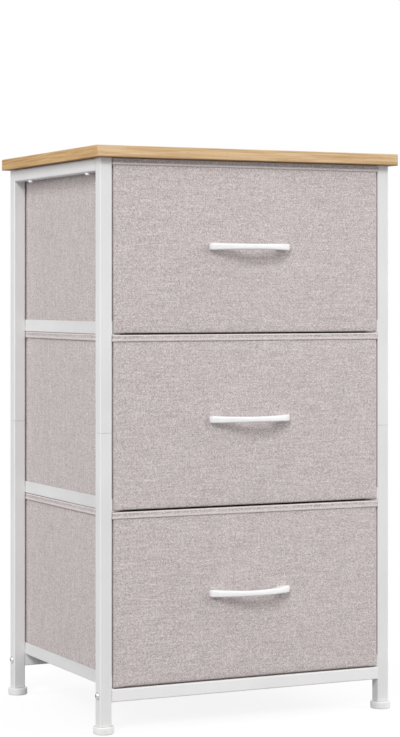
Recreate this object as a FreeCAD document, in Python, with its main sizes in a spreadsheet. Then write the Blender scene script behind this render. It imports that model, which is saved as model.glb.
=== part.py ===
import FreeCAD, Part
import Sketcher
import math
import os
import re

# A storage tower with three fabric drawers on a steel tube frame.
# Millimetres. X runs to the right, Y to the back and Z up. The origin is on the floor, at the
# centre of the whole tower's footprint, handles included.

DRAWERS = ("bottom", "middle", "top")

# Driving sizes, one cell each in the sheet
SIZES = {
    # Top board
    "total_height": 730,
    "panel_width": 430,
    "panel_depth": 336,
    "panel_thick": 15,
    "panel_corner": 2,
    "panel_edge": 0.8,
    "overhang_side": 8.7,
    "overhang_front": 11,
    "overhang_rear": 10.2,
    # Square tube of the posts and rails
    "tube": 16,
    "tube_wall": 1.2,
    "tube_corner": 1.6,
    "plug_clearance": 0.1,
    # Posts, in two lengths that meet at a joint
    "post_joint_height": 373.3,
    "post_joint_gap": 0.3,
    "connector_length": 60,
    # Bottom cross rails and the bolts that hold them
    "cross_rail_height": 39.3,
    "rail_insert_length": 22,
    "bolt_radius": 3,
    "bolt_length": 34,
    "bolt_head_radius": 4.8,
    "bolt_head_height": 3,
    "bolt_socket_radius": 1.8,
    "bolt_socket_depth": 1.6,
    "bolt_clearance": 0.2,
    "thread_clearance": 0.05,
    # Screws up through the top side rails into the board
    "top_screw_spacing": 198,
    "top_screw_radius": 2,
    "top_screw_bite": 10,
    "top_screw_tip_room": 2,
    "top_screw_head_radius": 4.2,
    "top_screw_head_height": 2.6,
    # Levelling feet
    "foot_height": 9.7,
    "foot_seat": 0.3,
    "foot_radius": 13,
    "foot_edge": 1,
    "foot_stud_radius": 4,
    "foot_stud_length": 20,
    "foot_plug_length": 25,
    # Runners, folded from sheet, one pair for each drawer
    "runner_gauge": 1,
    "runner_leg": 16,
    "runner_shelf": 14,
    "runner_inset": 1,
    "runner_stop": 12,
    # Drawers, which share the height between the bottom runners and the board
    "drawer_gap": 2,
    "drawer_top_gap": 0.5,
    "drawer_side_gap": 1.5,
    "drawer_stop_gap": 0.5,
    "drawer_seat": 0.2,
    "drawer_corner": 3,
    "cover_thick": 1,
    "board_thick": 3,
    "lining_thick": 0.6,
    "lining_corner": 1,
    "base_clearance": 1,
    "binding_thick": 0.9,
    "binding_height": 8.3,
    # Handles and their screws
    "handle_projection": 26,
    "handle_end_depth": 6,
    "handle_end_height": 9,
    "handle_mid_height": 7,
    "handle_mid_thick": 5.5,
    "handle_foot_length": 16,
    "handle_height": 109.5,
    "handle_screw_spacing": 96,
    "handle_screw_margin": 8.6,
    "handle_screw_radius": 2,
    "handle_screw_grip": 8,
    "handle_screw_head_radius": 3.8,
    "handle_screw_head_height": 2.2,
    # How far a drill runs past the faces that it cuts
    "overrun": 2,
}

# Sizes and places worked out from the driving sizes
PLACES = {
    "frame_width": "panel_width - 2 * overhang_side",
    "frame_depth": "panel_depth - overhang_front - overhang_rear",
    "front_y": "(handle_projection + overhang_front - panel_depth) / 2",
    "rear_y": "front_y + frame_depth",
    "inner_half_width": "frame_width / 2 - tube",
    "post_x": "frame_width / 2 - tube / 2",
    "front_post_y": "front_y + tube / 2",
    "rear_post_y": "rear_y - tube / 2",
    "side_rail_length": "frame_depth - 2 * tube",
    "panel_underside": "total_height - panel_thick",
    "side_rail_bottom": "panel_underside - tube",
    "bolt_z": "cross_rail_height + tube / 2",
    "tube_hollow": "tube - 2 * tube_wall",
    "tube_hollow_corner": "tube_corner - tube_wall",
    "plug_side": "tube_hollow - 2 * plug_clearance",
    "first_runner_z": "cross_rail_height + tube",
    "runner_length": "frame_depth - 2 * runner_inset",
    "first_drawer_z": "first_runner_z + runner_gauge + drawer_seat",
    "drawer_stack": "panel_underside - drawer_top_gap - first_drawer_z",
    "drawer_height": "(drawer_stack - %d * drawer_gap) / %d" % (len(DRAWERS) - 1, len(DRAWERS)),
    "drawer_pitch": "drawer_height + drawer_gap",
    "drawer_width": "2 * (inner_half_width - drawer_side_gap)",
    "drawer_depth": "frame_depth - runner_inset - runner_gauge - drawer_stop_gap",
    "drawer_centre_y": "front_y + drawer_depth / 2",
    "pocket_width": "drawer_width - 2 * cover_thick",
    "pocket_depth": "drawer_depth - 2 * cover_thick",
    "lining_width": "pocket_width - 2 * board_thick",
    "lining_depth": "pocket_depth - 2 * board_thick",
    "inside_width": "lining_width - 2 * lining_thick",
    "inside_depth": "lining_depth - 2 * lining_thick",
    "wall_stack": "cover_thick + board_thick + lining_thick",
    "stack_top": "drawer_height - binding_thick",
    "board_height": "stack_top - cover_thick",
    "top_screw_length": "tube + top_screw_bite",
    "handle_length": "handle_screw_spacing + 2 * handle_screw_margin",
}

doc = FreeCAD.newDocument("fabric_drawer_tower")
sheet = doc.addObject("Spreadsheet::Sheet", "sizes")
for row, (alias, size) in enumerate(SIZES.items(), start=1):
    sheet.set("A%d" % row, alias)
    sheet.set("B%d" % row, str(size))
    sheet.setAlias("B%d" % row, alias)
doc.recompute()

nodes = []


def spell(formula):
    """Write a formula of size names as an expression that reads the sheet."""
    def word(match):
        name = match.group(0)
        if name in PLACES:
            return "(" + spell(PLACES[name]) + ")"
        if name in SIZES:
            return "sizes." + name
        return name
    return re.sub(r"[a-z][a-z_]*", word, formula)


def amount(formula):
    """The present value of a formula, for drawing a sketch near its final shape."""
    return float(sheet.evalExpression(spell(formula)))


def bind(item, formulas):
    """Tie properties of an object to the sheet."""
    for target, formula in formulas.items():
        item.setExpression(target, spell(formula))


def place(item, x, y, z):
    """Tie an object's place to the sheet."""
    bind(item, {"Placement.Base.x": x, "Placement.Base.y": y, "Placement.Base.z": z})


def turn(item, axis, angle):
    """Turn an object about an axis through its own origin."""
    item.Placement = FreeCAD.Placement(FreeCAD.Vector(), FreeCAD.Rotation(FreeCAD.Vector(*axis), angle))


def node(item, label):
    """Make an object one of the tower's separate pieces."""
    item.Label = label
    nodes.append(item)
    return item


def sketch_on(body, role, lift="0"):
    """Start a sketch on one of the body's own origin planes, raised by lift."""
    plane = [item for item in body.Origin.OriginFeatures if item.Role == role][0]
    sketch = body.newObject("Sketcher::SketchObject", "Sketch")
    sketch.AttachmentSupport = [(plane, "")]
    sketch.MapMode = "FlatFace"
    bind(sketch, {"AttachmentOffset.Base.z": lift})
    return sketch


def size_constraint(sketch, name, formula, kind, *where):
    """Add a named size to a sketch, tied to the sheet."""
    index = sketch.addConstraint(Sketcher.Constraint(kind, *where, amount(formula)))
    sketch.renameConstraint(index, name)
    bind(sketch, {"Constraints." + name: formula})


def rounded_rectangle(sketch, tag, width, height, radius):
    """Draw a rectangle with round corners, centred on the sketch's origin."""
    half_x, half_y, corner = amount(width) / 2, amount(height) / 2, amount(radius)
    near_x, near_y = half_x - corner, half_y - corner
    first = sketch.GeometryCount
    corners = [(near_x, -near_y), (near_x, near_y), (-near_x, near_y), (-near_x, -near_y)]
    for quarter, (x, y) in enumerate(corners):
        start = math.radians(90 * (quarter - 1))
        before = corners[quarter - 1]
        out = FreeCAD.Vector(corner * math.cos(start), corner * math.sin(start), 0)
        line_start = FreeCAD.Vector(before[0], before[1], 0) + out
        line_end = FreeCAD.Vector(x, y, 0) + out
        circle = Part.Circle(FreeCAD.Vector(x, y, 0), FreeCAD.Vector(0, 0, 1), corner)
        sketch.addGeometry(Part.LineSegment(line_start, line_end))
        sketch.addGeometry(Part.ArcOfCircle(circle, start, start + math.radians(90)))
    for step in range(8):
        here, following = first + step, first + (step + 1) % 8
        sketch.addConstraint(Sketcher.Constraint("Tangent", here, 2, following, 1))
    for line, kind in ((0, "Horizontal"), (2, "Vertical"), (4, "Horizontal"), (6, "Vertical")):
        sketch.addConstraint(Sketcher.Constraint(kind, first + line))
    for arc in (3, 5, 7):
        sketch.addConstraint(Sketcher.Constraint("Equal", first + 1, first + arc))
    sketch.addConstraint(Sketcher.Constraint("Symmetric", first + 1, 3, first + 5, 3, -1, 1))
    size_constraint(sketch, tag + "_corner", radius, "Radius", first + 1)
    size_constraint(sketch, tag + "_width", width, "DistanceX", first + 6, 1, first + 2, 1)
    size_constraint(sketch, tag + "_height", height, "DistanceY", first + 0, 1, first + 4, 1)


def circle(sketch, tag, radius, x, y):
    """Draw a circle at a place in the sketch."""
    centre = FreeCAD.Vector(amount(x), amount(y), 0)
    index = sketch.addGeometry(Part.Circle(centre, FreeCAD.Vector(0, 0, 1), amount(radius)))
    size_constraint(sketch, tag + "_radius", radius, "Radius", index)
    for name, kind, formula, axis in (("_across", "DistanceX", x, -2), ("_along", "DistanceY", y, -1)):
        if formula == "0":
            sketch.addConstraint(Sketcher.Constraint("PointOnObject", index, 3, axis))
        else:
            size_constraint(sketch, tag + name, formula, kind, -1, 1, index, 3)


def pad(body, sketch, length):
    """Raise a sketch into a solid."""
    feature = body.newObject("PartDesign::Pad", "Pad")
    feature.Profile = sketch
    bind(feature, {"Length": length})
    body.Tip = feature
    return feature


def pocket(body, sketch, depth=None):
    """Cut a sketch's shapes out of the body, to a depth along +Z or right through both ways."""
    doc.recompute()
    before = body.Shape.Volume
    feature = body.newObject("PartDesign::Pocket", "Pocket")
    feature.Profile = sketch
    if depth is None:
        feature.Type = "ThroughAll"
        feature.SideType = "Symmetric"
    else:
        feature.Reversed = True
        bind(feature, {"Length": depth})
    body.Tip = feature
    doc.recompute()
    if not body.Shape.Volume < before:
        raise ValueError("a pocket in %s cut nothing" % body.Label)
    return feature


def prism(name, width, height, radius, length, hollow=None, bore=None):
    """A straight bar along its own Z axis: solid, hollow like a tube, or bored like a plug."""
    body = doc.addObject("PartDesign::Body", name)
    sketch = sketch_on(body, "XY_Plane")
    rounded_rectangle(sketch, "outside", width, height, radius)
    if hollow:
        rounded_rectangle(sketch, "inside", *hollow)
    if bore:
        circle(sketch, "bore", bore, "0", "0")
    pad(body, sketch, length)
    return body


def tube(name, length):
    """A length of the frame's square tube along its own Z axis."""
    hollow = ("tube_hollow", "tube_hollow", "tube_hollow_corner")
    return prism(name, "tube", "tube", "tube_corner", length, hollow=hollow)


def plug(name, length, bore=None):
    """A bar that fits inside the square tube."""
    return prism(name, "plug_side", "plug_side", "tube_hollow_corner", length, bore=bore)


def turned(name, profile):
    """Spin a profile about its own Z axis. Each corner is (radius, height), anticlockwise from
    the axis, and a third word, dome, makes the side after it an arc centred on the axis."""
    body = doc.addObject("PartDesign::Body", name)
    sketch = sketch_on(body, "XZ_Plane")
    points = [FreeCAD.Vector(amount(corner[0]), amount(corner[1]), 0) for corner in profile]
    for index, corner in enumerate(profile):
        start, end = points[index], points[(index + 1) % len(points)]
        if len(corner) == 2:
            sketch.addGeometry(Part.LineSegment(start, end))
            continue
        centre_y = (start.dot(start) - end.dot(end)) / (2 * (start.y - end.y))
        centre = FreeCAD.Vector(0, centre_y, 0)
        angles = [math.atan2(point.y - centre_y, point.x) for point in (start, end)]
        whole = Part.Circle(centre, FreeCAD.Vector(0, 0, 1), (start - centre).Length)
        arc = sketch.addGeometry(Part.ArcOfCircle(whole, *angles))
        sketch.addConstraint(Sketcher.Constraint("PointOnObject", arc, 3, -2))
    for index, corner in enumerate(profile):
        following = (index + 1) % len(profile)
        sketch.addConstraint(Sketcher.Constraint("Coincident", index, 2, following, 1))
        for word, kind, formula, axis in (
            ("reach", "DistanceX", corner[0], -2),
            ("level", "DistanceY", corner[1], -1),
        ):
            if formula == "0":
                sketch.addConstraint(Sketcher.Constraint("PointOnObject", index, 1, axis))
            else:
                size_constraint(sketch, "corner%d_%s" % (index, word), formula, kind, -1, 1, index, 1)
    spin = body.newObject("PartDesign::Revolution", "Revolution")
    spin.Profile = sketch
    spin.ReferenceAxis = (sketch, ["V_Axis"])
    body.Tip = spin
    return body


def box(name, x, y, z, length, width, height):
    """A square-cornered block from its lowest corner."""
    item = doc.addObject("Part::Box", name)
    bind(item, {"Length": length, "Width": width, "Height": height})
    place(item, x, y, z)
    return item


def rod(name, radius, height, x, y, z, axis=None, angle=0):
    """A cylinder that starts at a place and runs along its turned Z axis."""
    item = doc.addObject("Part::Cylinder", name)
    if axis:
        turn(item, axis, angle)
    bind(item, {"Radius": radius, "Height": height})
    place(item, x, y, z)
    return item


def group(label, items):
    """Several separate solids in one piece's file."""
    item = doc.addObject("Part::Compound", label)
    item.Links = items
    return item


def cut(name, base, tool):
    """One shape less another."""
    item = doc.addObject("Part::Cut", name)
    item.Base = base
    item.Tool = tool
    return item


X_AXIS = (1, 0, 0)
Y_AXIS = (0, 1, 0)
SIDES = (("left", -1), ("right", 1))
ENDS = (("front", "front_post_y"), ("rear", "rear_post_y"))


def build_top_panel():
    """The top board, with blind holes below for its screws."""
    body = doc.addObject("PartDesign::Body", "top_panel")
    outline = sketch_on(body, "XY_Plane")
    rounded_rectangle(outline, "board", "panel_width", "panel_depth", "panel_corner")
    board = pad(body, outline, "panel_thick")
    doc.recompute()
    flat = []
    for index, edge in enumerate(board.Shape.Edges, start=1):
        if edge.BoundBox.ZLength < edge.Length / 2:
            flat.append("Edge%d" % index)
    easing = body.newObject("PartDesign::Fillet", "Fillet")
    easing.Base = (board, flat)
    bind(easing, {"Radius": "panel_edge"})
    body.Tip = easing
    holes = sketch_on(body, "XY_Plane")
    shift = "(overhang_front - overhang_rear) / 2"
    for side, way in SIDES:
        for end, toward in (("front", -1), ("rear", 1)):
            x = "%d * post_x" % way
            y = "%d * top_screw_spacing / 2 + %s" % (toward, shift)
            circle(holes, "%s_%s" % (side, end), "top_screw_radius + thread_clearance", x, y)
    pocket(body, holes, "top_screw_bite + top_screw_tip_room")
    place(body, "0", "front_y - overhang_front + panel_depth / 2", "panel_underside")
    node(body, "top_panel")


def build_posts():
    """Four posts, each a lower and an upper length of tube that meet at a joint."""
    for end, y in ENDS:
        for side, way in SIDES:
            x = "%d * post_x" % way
            lower = tube("post_lower", "post_joint_height - post_joint_gap / 2 - foot_height")
            holes = sketch_on(lower, "YZ_Plane")
            circle(holes, "bolt", "bolt_radius + bolt_clearance", "0", "bolt_z - foot_height")
            pocket(lower, holes)
            place(lower, x, y, "foot_height")
            node(lower, "post_lower_%s_%s" % (end, side))
            upper = tube("post_upper", "panel_underside - post_joint_height - post_joint_gap / 2")
            place(upper, x, y, "post_joint_height + post_joint_gap / 2")
            node(upper, "post_upper_%s_%s" % (end, side))


def build_post_fittings():
    """Connectors inside the post joints, and threaded plugs in the posts' bottom ends."""
    connectors, plugs = [], []
    for end, y in ENDS:
        for side, way in SIDES:
            x = "%d * post_x" % way
            connector = plug("connector", "connector_length")
            place(connector, x, y, "post_joint_height - connector_length / 2")
            connectors.append(connector)
            foot_plug = plug("foot_plug", "foot_plug_length", "foot_stud_radius + thread_clearance")
            place(foot_plug, x, y, "foot_height")
            plugs.append(foot_plug)
    node(group("post_connectors", connectors), "post_connectors")
    node(group("foot_plugs", plugs), "foot_plugs")


def build_top_side_rails():
    """Tubes between the posts under the board, drilled for the screws into it."""
    for side, way in SIDES:
        rail = tube("top_side_rail", "side_rail_length")
        holes = sketch_on(rail, "XZ_Plane")
        for end, toward in (("front", -1), ("rear", 1)):
            along = "side_rail_length / 2 + %d * top_screw_spacing / 2" % toward
            circle(holes, end, "top_screw_radius + bolt_clearance", "0", along)
        pocket(rail, holes)
        turn(rail, X_AXIS, -90)
        place(rail, "%d * post_x" % way, "front_y + tube", "side_rail_bottom + tube / 2")
        node(rail, "top_side_rail_" + side)


def build_top_screws():
    """Dome-headed screws from below, through the side rails into the board."""
    profile = [
        ("0", "0", "dome"),
        ("top_screw_head_radius", "top_screw_head_height"),
        ("top_screw_radius", "top_screw_head_height"),
        ("top_screw_radius", "top_screw_head_height + top_screw_length"),
        ("0", "top_screw_head_height + top_screw_length"),
    ]
    screws = []
    for side, way in SIDES:
        for toward in (-1, 1):
            screw = turned("top_screw", profile)
            y = "front_y + frame_depth / 2 + %d * top_screw_spacing / 2" % toward
            place(screw, "%d * post_x" % way, y, "side_rail_bottom - top_screw_head_height")
            screws.append(screw)
    node(group("top_screws", screws), "top_screws")


def build_runners():
    """Six folded runners on the posts' inner faces: a leg beside the drawer, a shelf under it,
    and a stop turned up at the rear."""
    for level, drawer in enumerate(DRAWERS):
        floor = "first_runner_z + %d * drawer_pitch" % level
        for side, way in SIDES:
            leg_x = "-1 * inner_half_width" if way < 0 else "inner_half_width - runner_gauge"
            shelf_x = "-1 * inner_half_width" if way < 0 else "inner_half_width - runner_shelf"
            start_y = "front_y + runner_inset"
            stop_y = "front_y + runner_inset + runner_length - runner_gauge"
            pieces = [
                box("leg", leg_x, start_y, floor, "runner_gauge", "runner_length", "runner_leg"),
                box("shelf", shelf_x, start_y, floor, "runner_shelf", "runner_length", "runner_gauge"),
                box("stop", shelf_x, stop_y, floor, "runner_shelf", "runner_gauge", "runner_stop"),
            ]
            runner = doc.addObject("Part::MultiFuse", "runner")
            runner.Shapes = pieces
            runner.Refine = True
            node(runner, "runner_%s_%s" % (drawer, side))


def build_cross_rails():
    """Front and rear bottom rails between the posts, with threaded inserts in their ends."""
    inserts = []
    for end, y in ENDS:
        rail = tube("cross_rail", "2 * inner_half_width")
        turn(rail, Y_AXIS, 90)
        place(rail, "-1 * inner_half_width", y, "bolt_z")
        node(rail, "cross_rail_" + end)
        for start in ("-1 * inner_half_width", "inner_half_width - rail_insert_length"):
            insert = plug("rail_insert", "rail_insert_length", "bolt_radius + thread_clearance")
            turn(insert, Y_AXIS, 90)
            place(insert, start, y, "bolt_z")
            inserts.append(insert)
    node(group("rail_inserts", inserts), "rail_inserts")


def build_rail_bolts():
    """Socket-headed dome bolts through the posts into the cross rails."""
    length = "bolt_length"
    profile = [
        ("0", "0"),
        ("bolt_radius", "0"),
        ("bolt_radius", length),
        ("bolt_head_radius", length, "dome"),
        ("bolt_socket_radius", "%s + bolt_head_height" % length),
        ("bolt_socket_radius", "%s + bolt_head_height - bolt_socket_depth" % length),
        ("0", "%s + bolt_head_height - bolt_socket_depth" % length),
    ]
    bolts = []
    for end, y in ENDS:
        for side, way in SIDES:
            bolt = turned("rail_bolt", profile)
            turn(bolt, Y_AXIS, 90 * way)
            place(bolt, "%d * (frame_width / 2 - bolt_length)" % way, y, "bolt_z")
            bolts.append(bolt)
    node(group("rail_bolts", bolts), "rail_bolts")


def build_feet():
    """Round levelling feet, each a disc moulded on a threaded stud."""
    disc = "foot_height - foot_seat"
    profile = [
        ("0", "0"),
        ("foot_radius - foot_edge", "0"),
        ("foot_radius", "foot_edge"),
        ("foot_radius", disc + " - foot_edge"),
        ("foot_radius - foot_edge", disc),
        ("foot_stud_radius", disc),
        ("foot_stud_radius", disc + " + foot_stud_length"),
        ("0", disc + " + foot_stud_length"),
    ]
    for end, y in ENDS:
        for side, way in SIDES:
            foot = turned("foot", profile)
            place(foot, "%d * post_x" % way, y, "0")
            node(foot, "foot_%s_%s" % (end, side))


def ring(body, tag, outer, inner, lift, height):
    """Add a rectangular ring with round corners to a body."""
    sketch = sketch_on(body, "XY_Plane", lift)
    rounded_rectangle(sketch, tag + "_outer", *outer)
    rounded_rectangle(sketch, tag + "_inner", *inner)
    pad(body, sketch, height)


def open_box(name, outer, inner, floor, height):
    """A box open at the top, centred on its own Z axis: a floor inside a wall."""
    body = doc.addObject("PartDesign::Body", name)
    bottom = sketch_on(body, "XY_Plane")
    rounded_rectangle(bottom, "floor", *outer)
    pad(body, bottom, floor)
    ring(body, "wall", outer, inner, "0", height)
    return body


def grown(width, depth, corner, by):
    """A rounded rectangle's three formulas, with every side moved out by an amount."""
    return ("%s + 2 * (%s)" % (width, by), "%s + 2 * (%s)" % (depth, by), "%s + %s" % (corner, by))


DRAWER_OUTSIDE = ("drawer_width", "drawer_depth", "drawer_corner")
POCKET = ("pocket_width", "pocket_depth", "drawer_corner - cover_thick")
LINING_OUTSIDE = ("lining_width", "lining_depth", "lining_corner")
LINING_INSIDE = ("inside_width", "inside_depth", "lining_corner - lining_thick")


def build_binding(prefix, z):
    """The binding folded over the top edge: an outer leg, an inner leg and the fold between."""
    leg = "binding_height - binding_thick"
    start = "drawer_height - binding_height"
    outer = grown(*DRAWER_OUTSIDE, "binding_thick")
    inner = ("inside_width - 2 * binding_thick", "inside_depth - 2 * binding_thick", "lining_corner")
    body = doc.addObject("PartDesign::Body", "binding")
    ring(body, "fold", outer, inner, "stack_top", "binding_thick")
    ring(body, "outer_leg", outer, DRAWER_OUTSIDE, start, leg)
    ring(body, "inner_leg", LINING_INSIDE, inner, start, leg)
    place(body, "0", "drawer_centre_y", z)
    node(body, prefix + "binding")


def build_drawer_boards(prefix, z, drills):
    """Stiffening boards between cover and lining, and the loose board on the bottom."""
    height = "board_height"
    across = "pocket_width - 2 * (drawer_corner - cover_thick)"
    left = "-1 * (%s) / 2" % across
    floor = z + " + cover_thick"
    front_y = "front_y + cover_thick"
    back_y = "front_y + cover_thick + board_thick + lining_depth"
    side_y = "front_y + cover_thick + board_thick"
    front = box("front_blank", left, front_y, floor, across, "board_thick", height)
    node(cut("front_board", front, drills), prefix + "front_board")
    sides = [box("back_board", left, back_y, floor, across, "board_thick", height)]
    for x in ("-1 * pocket_width / 2", "lining_width / 2"):
        sides.append(box("side_board", x, side_y, floor, "board_thick", "lining_depth", height))
    node(group("side_boards", sides), prefix + "side_boards")
    base_width = "(inside_width - 2 * base_clearance)"
    base_depth = "(inside_depth - 2 * base_clearance)"
    base = box(
        "base_board",
        "-1 * %s / 2" % base_width,
        "front_y + wall_stack + base_clearance",
        z + " + cover_thick + lining_thick",
        base_width,
        base_depth,
        "board_thick",
    )
    node(base, prefix + "base_board")


def build_handle(prefix, z):
    """A bow handle: a block trimmed by a large round in front, hollowed behind by a smaller one
    and waisted above and below by two very large ones."""
    length, height = "handle_length", "handle_end_height"
    bow = "(handle_projection - handle_end_depth)"
    front_radius = "((handle_length / 2) ^ 2 + %s ^ 2) / (2 * %s)" % (bow, bow)
    grip = "(handle_projection - handle_mid_thick)"
    half_gap = "(handle_length / 2 - handle_foot_length)"
    back_radius = "(%s ^ 2 + %s ^ 2) / (2 * %s)" % (half_gap, grip, grip)
    waist = "((handle_end_height - handle_mid_height) / 2)"
    waist_radius = "((handle_length / 2) ^ 2 + %s ^ 2) / (2 * %s)" % (waist, waist)
    middle = "%s + handle_height" % z
    low = "%s - handle_end_height / 2" % middle
    face_y = "front_y - handle_projection"
    block = box("block", "-1 * handle_length / 2", face_y, low, length, "handle_projection", height)
    front = rod("front_round", front_radius, height, "0", "%s + %s" % (face_y, front_radius), low)
    bow_solid = doc.addObject("Part::Common", "bow")
    bow_solid.Base = block
    bow_solid.Tool = front
    start = "%s - overrun" % low
    through = "handle_end_height + 2 * overrun"
    back_y = "front_y - %s + %s" % (grip, back_radius)
    hollow = rod("back_round", back_radius, through, "0", back_y, start)
    tools = [hollow]
    for way in (-1, 1):
        centre = "%s + %d * (handle_mid_height / 2 + %s)" % (middle, way, waist_radius)
        start_y = "front_y + overrun"
        reach = "handle_projection + 2 * overrun"
        tools.append(rod("waist", waist_radius, reach, "0", start_y, centre, X_AXIS, 90))
    for way in (-1, 1):
        x = "%d * handle_screw_spacing / 2" % way
        radius = "handle_screw_radius + thread_clearance"
        reach = "handle_screw_grip + 2 * overrun"
        tools.append(rod("pilot", radius, reach, x, "front_y + overrun", middle, X_AXIS, 90))
    handle = bow_solid
    for tool in tools:
        handle = cut("handle", handle, tool)
    node(handle, prefix + "handle")


def build_handle_screws(prefix, z):
    """Two screws from inside the drawer, through its front into the handle's feet."""
    shank = "handle_screw_head_height + wall_stack + handle_screw_grip"
    profile = [
        ("0", "0", "dome"),
        ("handle_screw_head_radius", "handle_screw_head_height"),
        ("handle_screw_radius", "handle_screw_head_height"),
        ("handle_screw_radius", shank),
        ("0", shank),
    ]
    screws = []
    for way in (-1, 1):
        screw = turned("handle_screw", profile)
        turn(screw, X_AXIS, 90)
        y = "front_y + wall_stack + handle_screw_head_height"
        place(screw, "%d * handle_screw_spacing / 2" % way, y, "%s + handle_height" % z)
        screws.append(screw)
    node(group("handle_screws", screws), prefix + "handle_screws")


def build_drawer(name, level):
    """One fabric drawer, from the cover inwards."""
    prefix = "drawer_%s_" % name
    z = "first_drawer_z + %d * drawer_pitch" % level
    drills = []
    for way in (-1, 1):
        x = "%d * handle_screw_spacing / 2" % way
        y = "front_y + wall_stack + overrun"
        radius = "handle_screw_radius + bolt_clearance"
        reach = "wall_stack + 2 * overrun"
        drills.append(rod("drill", radius, reach, x, y, "%s + handle_height" % z, X_AXIS, 90))
    drill_pair = group("drills", drills)
    cover = open_box("cover_blank", DRAWER_OUTSIDE, POCKET, "cover_thick", "stack_top")
    place(cover, "0", "drawer_centre_y", z)
    node(cut("cover", cover, drill_pair), prefix + "cover")
    lining = open_box("lining_blank", LINING_OUTSIDE, LINING_INSIDE, "lining_thick", "board_height")
    place(lining, "0", "drawer_centre_y", z + " + cover_thick")
    node(cut("lining", lining, drill_pair), prefix + "lining")
    build_drawer_boards(prefix, z, drill_pair)
    build_binding(prefix, z)
    build_handle(prefix, z)
    build_handle_screws(prefix, z)


build_top_panel()
build_top_side_rails()
build_top_screws()
build_posts()
build_post_fittings()
build_runners()
build_cross_rails()
build_rail_bolts()
build_feet()
for level, name in enumerate(DRAWERS):
    build_drawer(name, level)
doc.recompute()

# Every object has to be sound before anything is written
for item in doc.Objects:
    if "Invalid" in item.State or "Error" in item.State:
        raise ValueError("%s failed to build: %s" % (item.Label, item.State))
for item in nodes:
    if item.Shape.isNull() or not item.Shape.isValid():
        raise ValueError("%s has no valid shape" % item.Label)

os.makedirs("parts", exist_ok=True)
for item in nodes:
    item.Shape.exportStep("parts/%s.step" % item.Label)
print("%d pieces written" % len(nodes))
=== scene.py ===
import math

import bmesh
import bpy
from mathutils import Matrix, Vector, noise


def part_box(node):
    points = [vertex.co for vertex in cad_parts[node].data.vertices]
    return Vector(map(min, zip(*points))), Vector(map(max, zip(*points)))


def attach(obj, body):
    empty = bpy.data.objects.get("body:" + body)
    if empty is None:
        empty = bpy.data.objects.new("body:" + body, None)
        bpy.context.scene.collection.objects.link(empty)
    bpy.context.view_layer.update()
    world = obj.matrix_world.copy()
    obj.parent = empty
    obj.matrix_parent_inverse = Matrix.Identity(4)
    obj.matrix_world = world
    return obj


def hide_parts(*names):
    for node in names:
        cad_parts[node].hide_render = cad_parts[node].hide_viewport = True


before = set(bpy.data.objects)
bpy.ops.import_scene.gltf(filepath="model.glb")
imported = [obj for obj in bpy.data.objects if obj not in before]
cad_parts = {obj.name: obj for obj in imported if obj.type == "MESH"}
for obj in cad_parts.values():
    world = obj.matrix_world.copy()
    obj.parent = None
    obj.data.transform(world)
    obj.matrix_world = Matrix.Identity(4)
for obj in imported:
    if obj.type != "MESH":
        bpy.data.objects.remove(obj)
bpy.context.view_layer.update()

# A narrow storage tower: three fabric drawers that slide on a white steel frame, under a wood-look
# top board. Metres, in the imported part's own frame: X to the right, Y to the back, Z up. The
# profiles of screws, bolts, feet, bindings and handles are in millimetres.
MM = 0.001


# Top board
# Particle board, 15 mm thick, covered above and below with oak-look laminate. Its four edges are
# banded with a strip of the same print, so on the short ends the grain runs front to back.
OAK = ((227, 198, 159), (211, 179, 137), (184, 145, 100))
OAK_END = ((213, 176, 124), (197, 158, 104), (167, 124, 76))
OAK_PORE = (146, 103, 60)
OAK_RIM = (222, 206, 182)
BACKING = ((172, 120, 68), (150, 100, 54))
OAK_FIGURE = (2.2, 26, 26)
OAK_FIBRE = (14, 520, 520)
OAK_PORES = (95, 1500, 1500)
OAK_RING_SWING = 34
OAK_DEPTH = 0.05 * MM
END_BAND_NORMAL = 0.7
# Painted shade: the board's lower edge is darkened where it turns down from the light, in a wider band on
# the front than on the ends.
LOWER_EDGE_SHADE = (104, 74, 46)
SHADE_UP_FRONT = 2.2 * MM
SHADE_UP_END = 1.0 * MM
RIM_DOWN = 1.6 * MM


def linear(colour):
    """Eight-bit picture values as the linear colour that a shader takes."""
    shares = [value / 255 for value in colour]
    return (*[s / 12.92 if s <= 0.04045 else ((s + 0.055) / 1.055) ** 2.4 for s in shares], 1)


def added(tree, kind, inputs=None, **settings):
    """Add a node to a tree. Each input is a value, or another node's socket to link from."""
    item = tree.nodes.new(kind)
    for name, value in settings.items():
        setattr(item, name, value)
    for name, value in (inputs or {}).items():
        if isinstance(value, bpy.types.NodeSocket):
            tree.links.new(value, item.inputs[name])
        else:
            item.inputs[name].default_value = value
    return item


def behind(kind, inputs, **settings):
    """Add a node behind the sockets that it takes, and give its outputs."""
    tree = next(value.id_data for value in inputs.values() if isinstance(value, bpy.types.NodeSocket))
    return added(tree, kind, inputs, **settings).outputs


def maths(operation, *values):
    """One sum on numbers."""
    return behind("ShaderNodeMath", dict(enumerate(values)), operation=operation)[0]


def product(first, *others):
    """Numbers multiplied together."""
    for other in others:
        first = maths("MULTIPLY", first, other)
    return first


def spread(value, low, high, new_low=0, new_high=1):
    """A number between two levels, carried over to two other levels and held there."""
    levels = {"Value": value, "From Min": low, "From Max": high, "To Min": new_low, "To Max": new_high}
    return behind("ShaderNodeMapRange", levels)[0]


def vectors(operation, first, second):
    """One sum on vectors."""
    return behind("ShaderNodeVectorMath", {0: first, 1: second}, operation=operation)[0]


def combined(x=0, y=0, z=0):
    """A vector from its three parts."""
    return behind("ShaderNodeCombineXYZ", {0: x, 1: y, 2: z})[0]


def axes_of(vector):
    """The three parts of a vector."""
    return behind("ShaderNodeSeparateXYZ", {0: vector})


def on_piece(tree, kind="Object"):
    """Where a point is on the piece, in metres, or the way that its surface faces."""
    return added(tree, "ShaderNodeTexCoord").outputs[kind]


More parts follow.
